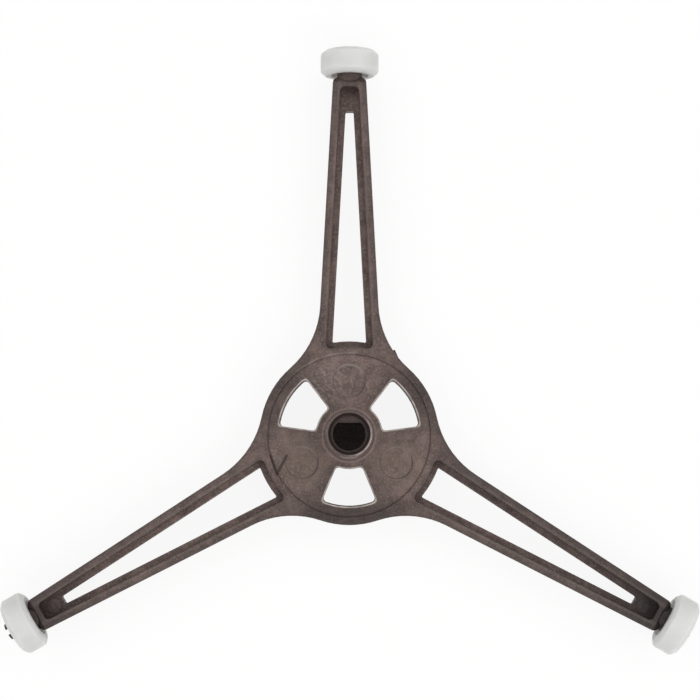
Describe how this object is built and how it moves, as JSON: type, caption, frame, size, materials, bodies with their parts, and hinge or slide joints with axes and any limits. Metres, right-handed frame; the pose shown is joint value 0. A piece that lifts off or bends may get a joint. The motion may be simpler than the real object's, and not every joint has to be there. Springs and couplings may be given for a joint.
{
  "type": "microwave roller ring",
  "caption": "Moulded turntable spider with slotted channel arms, a D-keyed drive socket on a tube at the hub and a white roller snapped on the end of each arm.",
  "frame": {"origin": "on the hub axis, level with the roller axles", "axes": "+Z points out of the drive socket; one arm, the rear one, runs along +Y"},
  "size_m": [0.1737, 0.1522, 0.0253],
  "materials": {
    "brown_plastic": "moulded brown thermoplastic, dull, with faint flow marks",
    "white_plastic": "moulded white acetal, smooth"
  },
  "bodies": {
    "spider": {"spider": "brown_plastic"},
    "rear_roller": {"roller_rear": "white_plastic"},
    "left_roller": {"roller_left": "white_plastic"},
    "right_roller": {"roller_right": "white_plastic"}
  },
  "joints": [
    {"name": "rear_roller_spin", "type": "hinge", "parent": "spider", "child": "rear_roller", "pos_m": [0, 0.0942, 0], "axis": [0, 1, 0], "continuous": true},
    {"name": "left_roller_spin", "type": "hinge", "parent": "spider", "child": "left_roller", "pos_m": [-0.08084, -0.04668, 0], "axis": [-0.866, -0.5, 0], "continuous": true},
    {"name": "right_roller_spin", "type": "hinge", "parent": "spider", "child": "right_roller", "pos_m": [0.0813, -0.04694, 0], "axis": [0.866, -0.5, 0], "continuous": true}
  ]
}
